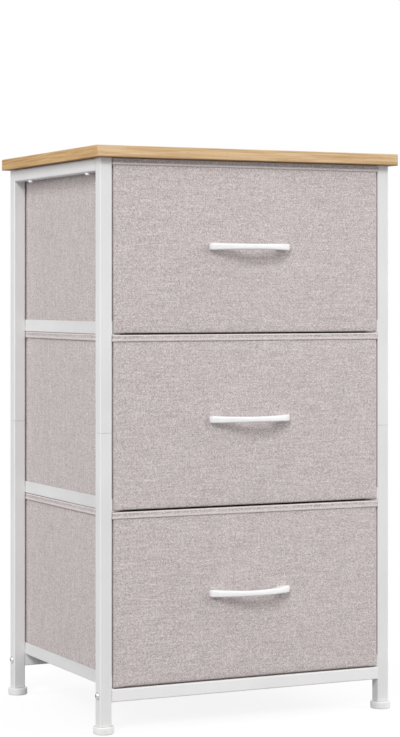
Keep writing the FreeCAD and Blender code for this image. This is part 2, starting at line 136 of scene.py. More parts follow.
def cloudy(place, scale, detail=2, distortion=0):
    """Soft noise from 0 to 1, with so many clouds to a metre, or so many along each axis."""
    if isinstance(scale, tuple):
        place, scale = vectors("MULTIPLY", place, scale), 1
    settings = {"Vector": place, "Scale": scale, "Detail": detail, "Distortion": distortion}
    return behind("ShaderNodeTexNoise", settings)[0]


def tinted(share, *pair):
    """A colour between two, which are picture values or sockets, by a share that varies."""
    first, second = (linear(colour) if isinstance(colour, tuple) else colour for colour in pair)
    return behind("ShaderNodeMix", {0: share, 6: first, 7: second}, data_type="RGBA")[2]


def new_finish(name, roughness, **sockets):
    """Start a material with its plain values on the shader itself, and give the place on it."""
    finish = bpy.data.materials.new(name)
    finish.use_nodes = True
    inputs = finish.node_tree.nodes["Principled BSDF"].inputs
    for socket, value in {"Roughness": roughness, **sockets}.items():
        inputs[socket.replace("_", " ")].default_value = value
    return finish, on_piece(finish.node_tree)


def coated(finish, tone, height, depth, roughness=None):
    """Link a finish's colour, its relief and its roughness."""
    tree = finish.node_tree
    raised = behind("ShaderNodeBump", {"Height": height, "Strength": 1, "Distance": depth})[0]
    for socket, value in {"Base Color": tone, "Normal": raised, "Roughness": roughness}.items():
        if value is not None:
            tree.links.new(value, tree.nodes["Principled BSDF"].inputs[socket])
    return finish


def oak_laminate():
    """Printed oak: broad figure, fine fibres along the grain, and short dark pores."""
    finish, place = new_finish("oak_laminate", 0.5, Specular_IOR_Level=0.22)
    axes, facing = axes_of(place), axes_of(on_piece(finish.node_tree, "Normal"))
    on_end = maths("GREATER_THAN", maths("ABSOLUTE", facing[0]), END_BAND_NORMAL)
    sides = {0: on_end, 4: place, 5: combined(axes[1], axes[0], axes[2])}
    along = behind("ShaderNodeMix", sides, data_type="VECTOR")[1]
    rings = maths("SINE", product(cloudy(along, OAK_FIGURE, 3, 0.5), OAK_RING_SWING))
    fibre = cloudy(along, OAK_FIBRE, 4, 0.1)
    pores = spread(cloudy(along, OAK_PORES, 1), 0.66, 0.78)
    light, middle, dark = (tinted(on_end, *pair) for pair in zip(OAK, OAK_END))
    tone = tinted(spread(rings, -1, 1, 0.3, 0.75), light, middle)
    tone = tinted(spread(fibre, 0.42, 0.68, 0, 0.8), tone, dark)
    tone = tinted(product(pores, 0.5), tone, OAK_PORE)
    backing = tinted(spread(fibre, 0.4, 0.65), *BACKING)
    tone = tinted(maths("LESS_THAN", facing[2], -END_BAND_NORMAL), tone, backing)
    low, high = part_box("top_panel")
    # Painted shade along the board's lower edge, wider on the front than on the ends.
    shade_up = spread(on_end, 0, 1, SHADE_UP_FRONT, SHADE_UP_END)
    up = maths("DIVIDE", maths("SUBTRACT", axes[2], low.z), shade_up)
    tone = tinted(spread(up, 1, 0.3, 0, 0.75), tone, LOWER_EDGE_SHADE)
    down = maths("SUBTRACT", high.z, axes[2])
    tone = tinted(spread(down, RIM_DOWN, 0.2 * MM, 0, 0.5), tone, OAK_RIM)
    rough = spread(fibre, 0.3, 0.7, 0.46, 0.6)
    return coated(finish, tone, maths("SUBTRACT", fibre, pores), OAK_DEPTH, rough)


def dress(finish, *names):
    """Give CAD nodes a finish."""
    for name in names:
        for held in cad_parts[name].material_slots:
            held.material = finish


dress(oak_laminate(), "top_panel")


# Steel tubes
# Posts in two lengths, top side rails and bottom cross rails, all of one square steel tube with
# rounded corners. They are welded or bolted together and powder coated in satin white. The cross
# rails get a whiter copy of the coat, which is painted light standing in for light falling on them.
# Each coat: full, thin, and a paler colour that paints a highlight on the corners.
PAINT = ((231, 230, 230), (225, 224, 224), (238, 238, 238))
# Painted light: the cross rails' coat is whiter to stand in for light that falls on them.
RAIL_PAINT_LIT = ((240, 239, 239), (235, 234, 234), (248, 248, 248))
PAINT_CLOUD = 9
ORANGE_PEEL = 900
PEEL_DEPTH = 0.03 * MM


def powder_coat(name, full, thin, edge):
    """Baked white powder, faint orange peel, duller where thin, with a painted highlight on corners."""
    finish, place = new_finish(name, 0.4, Specular_IOR_Level=0.3)
    cloud, facing = cloudy(place, PAINT_CLOUD, 3), axes_of(on_piece(finish.node_tree, "Normal"))
    tone = tinted(spread(cloud, 0.35, 0.65), full, thin)
    # Painted highlight: corners between front and side faces are made paler.
    corner_highlight_share = maths("ABSOLUTE", product(facing[0], facing[1]))
    tone = tinted(spread(corner_highlight_share, 0.15, 0.45), tone, edge)
    rough = spread(cloud, 0.3, 0.7, 0.34, 0.46)
    return coated(finish, tone, cloudy(place, ORANGE_PEEL), PEEL_DEPTH, rough)


paint = powder_coat("white_powder_coat", *PAINT)
rail_paint_lit = powder_coat("thick_powder_coat", *RAIL_PAINT_LIT)
corners = [(end, side) for end in ("front", "rear") for side in ("left", "right")]
for end, side in corners:
    dress(paint, f"post_lower_{end}_{side}", f"post_upper_{end}_{side}")
dress(paint, "top_side_rail_left", "top_side_rail_right")
# Painted light: the cross rails take the whiter coat.
dress(rail_paint_lit, "cross_rail_front", "cross_rail_rear")


# Plugs and connectors inside the tubes
# Black nylon mouldings pushed into the posts and the cross rails: they join the post halves and
# give the feet and the bolts their threads. Only slivers of them show, in the post joints.
NYLON = ((38, 38, 40), (58, 58, 60))
NYLON_GRAIN = 1400


def grained(name, roughness, first, second, levels, grain, depth, swing=None, **sockets):
    """A finish whose colour, relief and roughness all follow one fine grain."""
    finish, place = new_finish(name, roughness, **sockets)
    height = cloudy(place, *grain)
    tone = tinted(spread(height, *levels), first, second)
    rough = spread(height, 0.3, 0.7, *swing) if swing else None
    return coated(finish, tone, height, depth, rough)


nylon = grained("black_nylon", 0.6, *NYLON, (0.45, 0.75), (NYLON_GRAIN,), 0.04 * MM)
dress(nylon, "post_connectors", "foot_plugs", "rail_inserts")


# Runners
# Six strips of sheet steel folded to an angle: a leg against the posts, a shelf that the drawer
# slides on, and a stop turned up at the rear. Painted with the frame.
GAUGE = 1 * MM
FOLD_RADIUS = 1.25 * MM
SHEET_EDGE = 0.25 * MM
STOP_HIGH = 12 * MM
SHELF_MITRE = {"bottom": 0.9, "middle": 0.5, "top": 0.5}
DOUBLES = 0.002 * MM


def linked(name, data):
    """A new object in the scene."""
    item = bpy.data.objects.new(name, data)
    bpy.context.scene.collection.objects.link(item)
    return item


def new_piece(name, points, faces, finish=None, edges=()):
    """A mesh object from points and faces, or from points and edges."""
    mesh = bpy.data.meshes.new(name)
    mesh.from_pydata(points, edges, faces)
    if finish:
        mesh.materials.append(finish)
    return linked(name, mesh)


def mended(mesh, near, outwards=True, degenerate=0):
    """Merge a mesh's doubles, drop faces of no size, and point the others outwards."""
    form = bmesh.new()
    form.from_mesh(mesh)
    bmesh.ops.remove_doubles(form, verts=form.verts, dist=near)
    if degenerate:
        bmesh.ops.dissolve_degenerate(form, edges=form.edges, dist=degenerate)
    if outwards:
        bmesh.ops.recalc_face_normals(form, faces=form.faces)
    form.to_mesh(mesh)
    form.free()


def settled(piece, outwards=True):
    """Turn a piece and its modifiers into a plain mesh."""
    graph = bpy.context.evaluated_depsgraph_get()
    mesh = bpy.data.meshes.new_from_object(piece.evaluated_get(graph))
    mended(mesh, DOUBLES, outwards)
    piece.modifiers.clear()
    piece.data = mesh
    mesh.name = piece.name
    return piece


def placed(piece, body, stands_for=None, angle=35):
    """Smooth a piece between sharp edges, hang it on its body, and hide the CAD node it replaces."""
    piece.data.shade_smooth()
    piece.data.set_sharp_from_angle(angle=math.radians(angle))
    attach(piece, body)
    if stands_for:
        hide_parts(stands_for)


def arc(centre, radii, start=0, parts=5):
    """Points of a quarter turn about a centre, anticlockwise from a start angle."""
    angles = [math.radians(start + 90 * part / parts) for part in range(parts + 1)]
    return [(centre[0] + radii[0] * math.cos(a), centre[1] + radii[1] * math.sin(a)) for a in angles]


def walls(rings, around):
    """Faces that join closed rings of points in order, with a cap on each end."""
    last = (rings - 1) * around
    turns = [(ring + side, ring + (side + 1) % around) for ring in range(0, last, around)
             for side in range(around)]
    sides = [(here, after, after + around, here + around) for here, after in turns]
    return sides + [tuple(range(around)), tuple(range(last + around - 1, last - 1, -1))]


def prism_between(outline, start, end, lift):
    """Points and faces of a closed outline carried from one level to another along an axis."""
    points = [lift(a, b, level) for level in (start, end) for a, b in outline]
    return points, walls(2, len(outline))


def runner(name, way, mitre):
    """One folded runner, its shelf cut back at a slant in front. way is -1 on the left side."""
    low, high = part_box(name)
    wall, tip = (low.x, high.x) if way < 0 else (high.x, low.x)
    leg, shelf = wall - way * GAUGE, low.z + GAUGE
    centre, inner = (wall - way * FOLD_RADIUS, low.z + FOLD_RADIUS), FOLD_RADIUS - GAUGE
    fold = arc(centre, (way * FOLD_RADIUS, -FOLD_RADIUS), parts=4)
    nook = arc(centre, (way * inner, -inner), parts=4)[::-1]
    angle = [(wall, high.z), *fold, (tip, low.z), (tip, shelf), *nook, (leg, high.z)]
    stop = [(leg, shelf), (tip, shelf), (tip, low.z + STOP_HIGH), (leg, low.z + STOP_HIGH)]

    def mitred(across, up, level):
        back = abs(across - wall) * mitre if level == low.y else 0
        return across, level + back, up

    points, faces = [], []
    for outline, start in ((angle, low.y), (stop, high.y - GAUGE)):
        more, sides = prism_between(outline, start, high.y, mitred)
        faces += [tuple(len(points) + index for index in face) for face in sides]
        points += more
    piece = new_piece(name + "_sheet", points, faces, paint)
    ease = piece.modifiers.new("ease", "BEVEL")
    ease.width = SHEET_EDGE
    ease.segments = 2
    ease.limit_method = "ANGLE"
    ease.angle_limit = math.radians(35)
    placed(settled(piece), "frame", name)


for level, mitre in SHELF_MITRE.items():
    runner(f"runner_{level}_left", -1, mitre)
    runner(f"runner_{level}_right", 1, mitre)


# Screws into the top board
# Four dome-headed screws with cross recesses, driven up through the top side rails. Painted white.
SCREW_HEAD = (4.2, 3.4)
SCREW_RIM = (0.3, 0.25)
SCREW_SHANK = 2.0
SCREW_POINT = 3
CROSS_RECESS = (3.6, 0.8, 1.2)
SCREW_WHITE = (252, 252, 252)
SCREW_GRAIN = 600
TURNED_SIDES = 40
TURNED_GIRTH = 4 * MM


def polyline(name, points, closed=False, finish=None, **attributes):
    """A row of joined points that a tree reads, with a number or a vector for each point."""
    joins = [(i, i + 1) for i in range(len(points) - 1)] + [(len(points) - 1, 0)] * closed
    row = new_piece(name, points, [], finish, joins)
    for label, values in attributes.items():
        kind, key = ("FLOAT", "value") if label == "run" else ("FLOAT_VECTOR", "vector")
        for held, value in zip(row.data.attributes.new(label, kind, "POINT").data, values):
            setattr(held, key, value)
    return row


def new_tree(name, **sockets):
    """Start a geometry tree with named inputs, and give them as sockets."""
    tree = bpy.data.node_groups.new(name, "GeometryNodeTree")
    face = tree.interface
    face.new_socket("Geometry", in_out="INPUT", socket_type="NodeSocketGeometry")
    for label, kind in sockets.items():
        face.new_socket(label.replace("_", " "), in_out="INPUT", socket_type="NodeSocket" + kind)
    face.new_socket("Geometry", in_out="OUTPUT", socket_type="NodeSocketGeometry")
    return tree, added(tree, "NodeGroupInput").outputs


def ended(geometry, finish):
    """End a tree: every copy made real, and all of it in one finish."""
    real = behind("GeometryNodeRealizeInstances", {0: geometry})[0]
    done = behind("GeometryNodeSetMaterial", {"Geometry": real, "Material": finish})[0]
    behind("NodeGroupOutput", {0: done})
    return done.id_data


def form_of(item):
    """The mesh of an object that a tree is given."""
    return behind("GeometryNodeObjectInfo", {"Object": item})["Geometry"]


def stored(tree, label, kind="FLOAT_VECTOR"):
    """A value that the points carry."""
    return added(tree, "GeometryNodeInputNamedAttribute", {"Name": label}, data_type=kind).outputs[0]


def scaled(vector, amount):
    """A direction times a length."""
    return behind("ShaderNodeVectorMath", {0: vector, "Scale": amount}, operation="SCALE")[0]


def grown_from(piece, tree, **values):
    """Run a tree on a piece with its inputs set, and keep the result as a plain mesh."""
    grow = piece.modifiers.new(tree.name, "NODES")
    grow.node_group = tree
    for item in tree.interface.items_tree:
        key = item.name.replace(" ", "_")
        if item.in_out == "INPUT" and key in values:
            grow[item.identifier] = values[key]
    return settled(piece)


def sweep_tree():
    """A tree that carries a profile, out and up, along a path of places and outward directions.
    A seam can pull the surface in at each stitch."""
    tree, given = new_tree(
        "sweep", Path="Object", Profile="Object", Middle="Vector", Half="Vector", Seam_Height="Float",
        Seam_Width="Float", Seam_Depth="Float", Stitch_Pitch="Float", Finish="Material",
    )
    shapes, counts, last = {}, {}, {}
    for label in ("Path", "Profile"):
        shapes[label] = form_of(given[label])
        counts[label] = behind("GeometryNodeAttributeDomainSize", {0: shapes[label]})[0]
        last[label] = maths("SUBTRACT", counts[label], 1)
    grid = behind("GeometryNodeMeshGrid", {
        "Size X": last["Profile"], "Size Y": last["Path"],
        "Vertices X": counts["Profile"], "Vertices Y": counts["Path"],
    })[0]
    here = added(tree, "GeometryNodeInputPosition").outputs[0]
    across = axes_of(here)
    rank = {}
    for axis, label in enumerate(("Profile", "Path")):
        rank[label] = maths("ROUND", maths("ADD", across[axis], product(last[label], 0.5)))

    def sampled(label, field, kind="FLOAT_VECTOR"):
        inputs = {"Geometry": shapes[label], "Value": field, "Index": rank[label]}
        return behind("GeometryNodeSampleIndex", inputs, data_type=kind)[0]

    run = sampled("Path", stored(tree, "run", "FLOAT"), "FLOAT")
    rise = sampled("Profile", stored(tree, "run", "FLOAT"), "FLOAT")
    form = axes_of(sampled("Profile", here))
    above = maths("SUBTRACT", form[2], given["Seam Height"])
    off_seam = maths("DIVIDE", above, given["Seam Width"])
    near_seam = maths("EXPONENT", product(off_seam, off_seam, -1))
    turns = product(maths("DIVIDE", run, given["Stitch Pitch"]), math.tau)
    pull = product(near_seam, given["Seam Depth"])
    out = maths("SUBTRACT", form[0], product(maths("COSINE", turns), pull))
    sideways = scaled(sampled("Path", stored(tree, "outward")), out)
    room = vectors("ADD", given["Half"], combined(out, out))
    moved = vectors("ADD", sampled("Path", here), sideways)
    moved = vectors("SUBTRACT", moved, given["Middle"])
    moved = vectors("MAXIMUM", moved, vectors("MULTIPLY", room, (-1, -1, -1)))
    moved = vectors("ADD", vectors("MINIMUM", moved, room), given["Middle"])
    moved = vectors("ADD", moved, combined(z=form[2]))
    kept = behind("GeometryNodeStoreNamedAttribute", {
        "Geometry": grid, "Name": "weave", "Value": combined(run, rise),
    }, data_type="FLOAT2", domain="CORNER")[0]
    swept = behind("GeometryNodeSetPosition", {"Geometry": kept, "Position": moved})[0]
    closed = behind("GeometryNodeMergeByDistance", {"Geometry": swept, "Distance": DOUBLES})[0]
    return ended(closed, given["Finish"])


def runs_along(points):
    """The distance along a row of points, at each of them."""
    runs = [0.0]
    for before, after in zip(points, points[1:]):
        runs.append(runs[-1] + (Vector(after) - Vector(before)).length)
    return runs


sweep = sweep_tree()


def swept(name, path, profile, finish, **seam):
    """A profile, in millimetres out and up, carried along a path."""
    rows = [(out * MM, 0, up * MM) for out, up in profile]
    line = polyline("path", path["places"], outward=path["outward"], run=path["runs"])
    shape = polyline("profile", rows, run=runs_along(rows))
    piece = new_piece(name, [], [])
    values = {"Half": (1, 1, 1), "Seam_Width": 1.0, "Stitch_Pitch": 1.0, **seam}
    grown_from(piece, sweep, Path=line, Profile=shape, Finish=finish, **values)
    for helper in (line, shape):
        bpy.data.objects.remove(helper)
    return piece


def turned(name, profile, finish, sides=TURNED_SIDES):
    """A piece spun about its own Z axis from a profile of radius and height."""
    angles = [math.tau * side / sides for side in range(sides + 1)]
    path = {
        "places": [(0, 0, 0)] * len(angles),
        "outward": [(math.cos(angle), math.sin(angle), 0) for angle in angles],
        "runs": [angle * TURNED_GIRTH for angle in angles],
    }
    return swept(name, path, profile, finish)


def domed(radius, height, rim):
    """The profile of a dome head from its rim up to its crown."""
    return arc((0, rim), (radius, height - rim), parts=6)


def uneven(reach, seed):
    """A number for each copy, up to a reach either side of zero."""
    spin = behind("FunctionNodeRandomValue", {"Seed": seed}, data_type="FLOAT")[1]
    return product(maths("SUBTRACT", product(spin, 2), 1), reach)


def set_on(points, form, aimed, turn):
    """Copies of a form on points, each aimed, then turned by angles of its own."""
    local = behind("FunctionNodeEulerToRotation", {0: turn})[0]
    both = {"Rotation": aimed, "Rotate By": local}
    facing = behind("FunctionNodeRotateRotation", both, rotation_space="LOCAL")[0]
    copies = {"Points": points, "Instance": form, "Rotation": facing}
    return behind("GeometryNodeInstanceOnPoints", copies)[0]


def fastener_tree():
    """A tree that cuts a recess in a screw and sets it along each point's axis, turned at random."""
    tree, given = new_tree("fasteners", Screw="Object", Recess="Object", Seed="Int", Finish="Material")
    both = {"Mesh 1": form_of(given["Screw"]), "Mesh 2": form_of(given["Recess"])}
    cut = behind("GeometryNodeMeshBoolean", both, operation="DIFFERENCE")[0]
    aimed = behind("FunctionNodeAlignRotationToVector", {"Vector": stored(tree, "axis")}, axis="Z")[0]
    turn = combined(z=uneven(math.pi, given["Seed"]))
    return ended(set_on(given["Geometry"], cut, aimed, turn), given["Finish"])


fasteners = fastener_tree()


def recess_tool(outline, height, deep):
    """A straight-sided cutter for the top of a head."""
    points, faces = prism_between(outline, height - deep, height + 1, lambda *spot: [v * MM for v in spot])
    return new_piece("recess", points, faces)


def cross_recess(height):
    """The cutter for a cross recess."""
    span, blade, deep = CROSS_RECESS
    far, near = span / 2, blade / 2
    return recess_tool([
        (near, near), (near, far), (-near, far), (-near, near), (-far, near), (-far, -near),
        (-near, -near), (-near, -far), (near, -far), (near, -near), (far, -near), (far, near),
    ], height, deep)


def fastened(name, body, stands_for, places, axes, profile, recess, finish, seed):
    """Set like screws in their places, in one piece that stands for a CAD node."""
    screw = turned("screw", profile, finish)
    piece = polyline(name, places, finish=finish, axis=axes)
    grown_from(piece, fasteners, Screw=screw, Recess=recess, Seed=seed, Finish=finish)
    for helper in (screw, recess):
        bpy.data.objects.remove(helper)
    placed(piece, body, stands_for)


enamel = grained("painted_screw", 0.24, SCREW_WHITE, PAINT[0], (0.4, 0.7), (SCREW_GRAIN,), 0.02 * MM,
                 Metallic=0.8)
low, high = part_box("top_screws")
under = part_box("top_side_rail_left")[0].z
radius, height = SCREW_HEAD
length = (high.z - under) / MM
profile = [
    (0, -length), (SCREW_SHANK * 0.5, -length), (SCREW_SHANK, -length + SCREW_POINT),
    (SCREW_SHANK, 0), (radius - SCREW_RIM[0], 0), *domed(radius, height, SCREW_RIM[1]),
]
spots = [(x, y, under) for x in (low.x + radius * MM, high.x - radius * MM)
         for y in (low.y + radius * MM, high.y - radius * MM)]
fastened("top_screws_set", "frame", "top_screws", spots, [(0, 0, -1)] * 4, profile,
         cross_recess(height), enamel, seed=4)


# Bolts through the posts
# Four plated bolts with domed heads and hexagon sockets. Each passes through a post near the floor
# into the insert in the end of a cross rail.
BOLT_HEAD = (4.8, 3.0)
BOLT_RIM = (0.35, 0.4)
BOLT_SHANK = 3.0
BOLT_POINT = (0.6, 0.8)
BOLT_LENGTH = 34
BOLT_SOCKET = (2.2, 1.7)
PLATE = ((214, 214, 216), (176, 176, 179))
TUMBLED = (1800, 3, 0.4)


def plated_steel(name, bright, dull, roughness):
    """Bright plating, with fine marks from its tumbling."""
    swing = (roughness - 0.05, roughness + 0.1)
    return grained(name, roughness, bright, dull, (0.35, 0.7), TUMBLED, 0.02 * MM, swing, Metallic=1.0)


low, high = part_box("rail_bolts")
out = abs(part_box("post_lower_front_left")[0].x)
radius, height = BOLT_HEAD
profile = [
    (0, -BOLT_LENGTH), (BOLT_SHANK - BOLT_POINT[0], -BOLT_LENGTH),
    (BOLT_SHANK, BOLT_POINT[1] - BOLT_LENGTH), (BOLT_SHANK, 0), (radius - BOLT_RIM[0], 0),
    *domed(radius, height, BOLT_RIM[1]),
]
spots = [(side * out, y, (low.z + high.z) / 2) for side in (-1, 1)
         for y in (low.y + radius * MM, high.y - radius * MM)]
axes = [(math.copysign(1, spot[0]), 0, 0) for spot in spots]
across, deep = BOLT_SOCKET
turns = [math.radians(60 * side) for side in range(6)]
socket = recess_tool([(across * math.cos(a), across * math.sin(a)) for a in turns], height, deep)
fastened("rail_bolts_set", "frame", "rail_bolts", spots, axes, profile, socket,
         plated_steel("bolt_plating", *PLATE, 0.22), seed=11)


# Levelling feet
# Four round feet moulded in white nylon on threaded studs. Each screws into the plug in the bottom
# of a post, and turns by hand to level the tower.
FOOT_WHITE = ((241, 241, 240), (232, 232, 231))
FOOT_GRAIN = 1100
FOOT_CLOUD = 90
FOOT_HEIGHT = 9.4
FOOT_ROUND = 1.3
FOOT_HOLLOW = 0.6
FOOT_RIM = 3.6
STUD = (4.0, 3.5)
STUD_PITCH = 1.5
STUD_POINT = (0.5, 0.4)
STUD_TURNS = 12


def foot_plastic():
    """White moulded plastic, satin, with a fine grain and soft clouds."""
    finish, place = new_finish("foot_plastic", 0.45)
    grain, cloud = cloudy(place, FOOT_GRAIN), cloudy(place, FOOT_CLOUD, 3)
    tone = tinted(spread(cloud, 0.4, 0.7), *FOOT_WHITE)
    return coated(finish, tone, grain, 0.03 * MM, spread(grain, 0.3, 0.7, 0.4, 0.52))


foot_finish = foot_plastic()
crest, root = STUD
stud = [(crest, FOOT_HEIGHT)]
for turn in range(STUD_TURNS):
    up = FOOT_HEIGHT + turn * STUD_PITCH
    stud += [(crest, up + 1), (root, up + 1 + STUD_PITCH / 2)]
for end, side in corners:
    name = f"foot_{end}_{side}"
    low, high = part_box(name)
    radius, tall = (high.x - low.x) / 2 / MM, (high.z - low.z) / MM
    profile = [
        (0, FOOT_HOLLOW), (radius - FOOT_RIM - FOOT_HOLLOW, FOOT_HOLLOW), (radius - FOOT_RIM, 0),
        *arc((radius - FOOT_ROUND, FOOT_ROUND), (FOOT_ROUND, FOOT_ROUND), -90),
        *arc((radius - FOOT_ROUND, FOOT_HEIGHT - FOOT_ROUND), (FOOT_ROUND, FOOT_ROUND)),
        *stud, (root, tall - STUD_POINT[1]), (root - STUD_POINT[0], tall), (0, tall),
    ]
    foot = turned(name + "_moulding", profile, foot_finish, sides=64)
    foot.data.transform(Matrix.Translation(((low.x + high.x) / 2, (low.y + high.y) / 2, low.z)))
    placed(foot, f"levelling_foot_{end}_{side}", name)


# Drawer covers
# Each drawer is an open box of linen-look fabric, sewn round stiff boards. The cloth is taut, so it
# only bellies out a little between the corners, and it is drawn in under the handle's feet.
DRAWERS = ("top", "middle", "bottom")
CLOTH = (201, 191, 190)
CLOTH_LIGHT = (238, 230, 229)
CLOTH_DARK = (152, 141, 140)
# Painted highlight colour for the binding's folds.
CREST_HIGHLIGHT = (236, 229, 227)
THREAD = 1.15 * MM
SLUB = 32
FLECK = 600
WEFT_FLECKED = 0.66
WARP_FLECKED = 0.84
WEAVE_DEPTH = 0.25 * MM
WEAVE = "weave"
CLOTH_THICK = 0.4 * MM
CLOTH_SLACK = 0.6 * MM
CLOTH_CORNER = 0.6 * MM
CLOTH_EDGE = {"top": 2.2 * MM, "middle": 2.4 * MM, "bottom": 2.8 * MM}
CLOTH_RISE = {"top": 0.55 * MM, "middle": 0.55 * MM, "bottom": 0.6 * MM}
CLOTH_SIDE_EDGE = 0.3
SHELF_EDGE = 1.6 * MM
SHELF_UNDERCUT = 5 * MM
SHELF_TIP = 176 * MM
SHELF_EASE = 1.5 * MM
CLOTH_STEP = 5 * MM
CLOTH_DOUBLES = 0.01 * MM
CLOTH_BELLY = 0.9 * MM
RIPPLE = 0.22 * MM
RIPPLES = (14, 45)
HELD_REACH = 14 * MM
SEAM_DRAW = 0.45 * MM
SEAM_DROP = 9 * MM
SEAM_REACH = 7 * MM
HANDLE_FOOT = 16 * MM
FLOOR_SHARES = (0.1, 0.3, 0.6, 1.0)


def thread_shade(along, across, offset, flecked):
    """The shade of each yarn: its own value, which drifts along it in slubs and in short flecks."""
    yarn = product(maths("FLOOR", maths("DIVIDE", across, THREAD)), 3.7)
    spots = [combined(product(along, rate), yarn, offset + rate) for rate in (SLUB, FLECK)]
    slubs, flecks = (cloudy(spot, 1, 1) for spot in spots)
    return behind("ShaderNodeMix", {0: flecked, 2: slubs, 3: flecks})[0]


def linen(name, base, highlighted_folds=()):
    """Plain weave of slubby two-tone yarns, read along the cloth in metres. Each highlighted fold
    gets a painted highlight band, with its place across the cloth and its width."""
    finish, _ = new_finish(name, 0.85, Sheen_Weight=0.15, Sheen_Roughness=0.5, Specular_IOR_Level=0.2)
    u, v, _ = axes_of(added(finish.node_tree, "ShaderNodeUVMap", uv_map=WEAVE).outputs[0])
    weft = thread_shade(u, v, 0.0, WEFT_FLECKED)
    warp = thread_shade(v, u, 9.0, WARP_FLECKED)
    across, up = (maths("SINE", product(axis, math.pi / THREAD)) for axis in (u, v))
    checks = product(across, up)
    yarn = behind("ShaderNodeMix", {0: spread(checks, -0.15, 0.15), 2: weft, 3: warp})[0]
    tone = tinted(spread(yarn, 0.5, 0.69), base, CLOTH_LIGHT)
    tone = tinted(spread(yarn, 0.5, 0.31), tone, CLOTH_DARK)
    # Painted highlight: each fold is made paler where it would catch the light.
    for place, width in highlighted_folds:
        off = maths("ABSOLUTE", maths("SUBTRACT", v, place))
        tone = tinted(spread(off, width, width * 0.4, 0, 0.8), tone, CREST_HIGHLIGHT)
    crown = product(maths("ABSOLUTE", checks), 0.6)
    height = maths("ADD", crown, product(yarn, 0.8))
    return coated(finish, tone, height, WEAVE_DEPTH, spread(yarn, 0.3, 0.7, 0.92, 0.78))


def rounded_path(width, depth, corner, spacing, parts=6):
    """A rounded rectangle, anticlockwise from the middle of the back, as corner centres, outward
    directions and runs along it. The first point comes again at the end."""
    half_x, half_y = width / 2 - corner, depth / 2 - corner
    spot, centres, outward = Vector((0, half_y, 0)), [], []
    for x, y, start in ((-1, 1, 90), (-1, -1, 180), (1, -1, 270), (1, 1, 0), (0, 1, 90)):
        target = Vector((x * half_x, y * half_y, 0))
        turns = [math.radians(start + 90 * part / parts) for part in range(parts if x else 1)]
        ways = [Vector((math.cos(turn), math.sin(turn), 0)) for turn in turns]
        count = max(1, round((target - spot).length / spacing))
        centres += [spot.lerp(target, part / count) for part in range(count)] + [target] * len(ways)
        outward += [ways[0]] * count + ways
        spot = target
    places = [centre + corner * way for centre, way in zip(centres, outward)]
    return {"centres": centres, "places": places, "outward": outward, "runs": runs_along(places)}


def belly(spot, way, middle, size, amount, seed, held=()):
    """How far taut cloth stands out from its board: a low crown and a few slow ripples, and none
    where a handle's foot holds it down."""
    across, width = (spot.x - middle.x, size.x) if abs(way.y) > 0.5 else (spot.y - middle.y, size.y)
    crown = max(0, 1 - (2 * across / width) ** 2) * max(0, 1 - (2 * (spot.z - middle.z) / size.z) ** 4)
    ripple = noise.noise(spot * RIPPLES[0] + Vector((seed, 0, 0)))
    ripple += 0.4 * noise.noise(spot * RIPPLES[1] + Vector((0, seed, 0)))
    free = 1.0
    for low, high in held if way.y < -0.5 else ():
        off_x = max(low.x - spot.x, spot.x - high.x, 0)
        off_z = max(low.z - spot.z, spot.z - high.z, 0)
        free = min(free, 1 - math.exp(-(math.hypot(off_x, off_z) / HELD_REACH) ** 2))
    return free * (amount * crown + RIPPLE * ripple * min(1, 3 * crown))


def cloth_rings(low, high, edge, undercut):
    """How far in and how high each ring of a cloth box is: its wall, its lower edge, its floor."""
    height = high.z - low.z
    rows = max(2, round(height / CLOTH_STEP))
    rings = [(0.0, high.z - (height - edge) * row / rows) for row in range(rows + 1)]
    rings += arc((undercut, low.z + edge), (-undercut, -edge))[1:]
    return rings + [(share * (high.y - low.y) / 2, low.z) for share in FLOOR_SHARES]


def cloth_box(name, low, high, corner, finish, amount, seed, held=(), drawn=0, edge=None, rise=0):
    """An open box of cloth: four walls, a lower edge and a floor, with a weave map. A cover is drawn
    in under its seam, rises between the shelves, and is undercut where it rests on them."""
    size, middle = high - low, (low + high) / 2
    path = rounded_path(size.x, size.y, corner, CLOTH_STEP)
    columns = len(path["places"])
    free = cloth_rings(low + Vector((0, 0, rise)), high, edge or corner, edge or corner)
    pressed = cloth_rings(low, high, SHELF_EDGE, SHELF_UNDERCUT) if edge else free
    side_edge = CLOTH_SIDE_EDGE if edge else 1
    points, weave = [], []
    drops = runs_along([(inset, 0, z) for inset, z in free])
    for at_free, at_shelf, drop in zip(free, pressed, drops):
        for centre, way, run in zip(path["centres"], path["outward"], path["runs"]):
            flat = centre + corner * way
            share = min(1, max(0, (abs(flat.x) - SHELF_TIP) / SHELF_EASE))
            inset, z = (a + (b - a) * share for a, b in zip(at_free, at_shelf))
            room_x, room_y = size.x / 2 - inset * side_edge, size.y / 2 - inset
            x, y = max(-room_x, min(room_x, flat.x)), max(-room_y, min(room_y, flat.y))
            spot = Vector((middle.x + x, middle.y + y, z))
            if inset == 0:
                pull = drawn * math.exp(-((high.z - SEAM_DROP - z) / SEAM_REACH) ** 2)
                spot += way * (belly(spot, way, middle, size, amount, seed, held) - pull)
            points.append(spot)
            weave.append((run, high.z - drop) if abs(way.y) > 0.71 else (high.z - drop, run))
    starts = [row * columns + column for row in range(len(free) - 1) for column in range(columns - 1)]
    faces = [(i, i + columns, i + columns + 1, i + 1) for i in starts]
    piece = new_piece(name, points, faces, finish)
    layer = piece.data.uv_layers.new(name=WEAVE)
    floor_start = (len(free) - len(FLOOR_SHARES) - 1) * (columns - 1)
    for face in piece.data.polygons:
        for loop, index in zip(face.loop_indices, face.vertices):
            on_floor = face.index >= floor_start
            layer.data[loop].uv = points[index].xy if on_floor else weave[index]
    return piece


def sewn(piece, thick, body, stands_for):
    """Give a box of cloth its thickness, inwards, and put it in its place."""
    mended(piece.data, CLOTH_DOUBLES, degenerate=CLOTH_DOUBLES / 2)
    wall = piece.modifiers.new("thickness", "SOLIDIFY")
    wall.thickness = thick
    wall.offset = -1
    wall.use_even_offset = True
    placed(settled(piece, outwards=False), body, stands_for, angle=60)


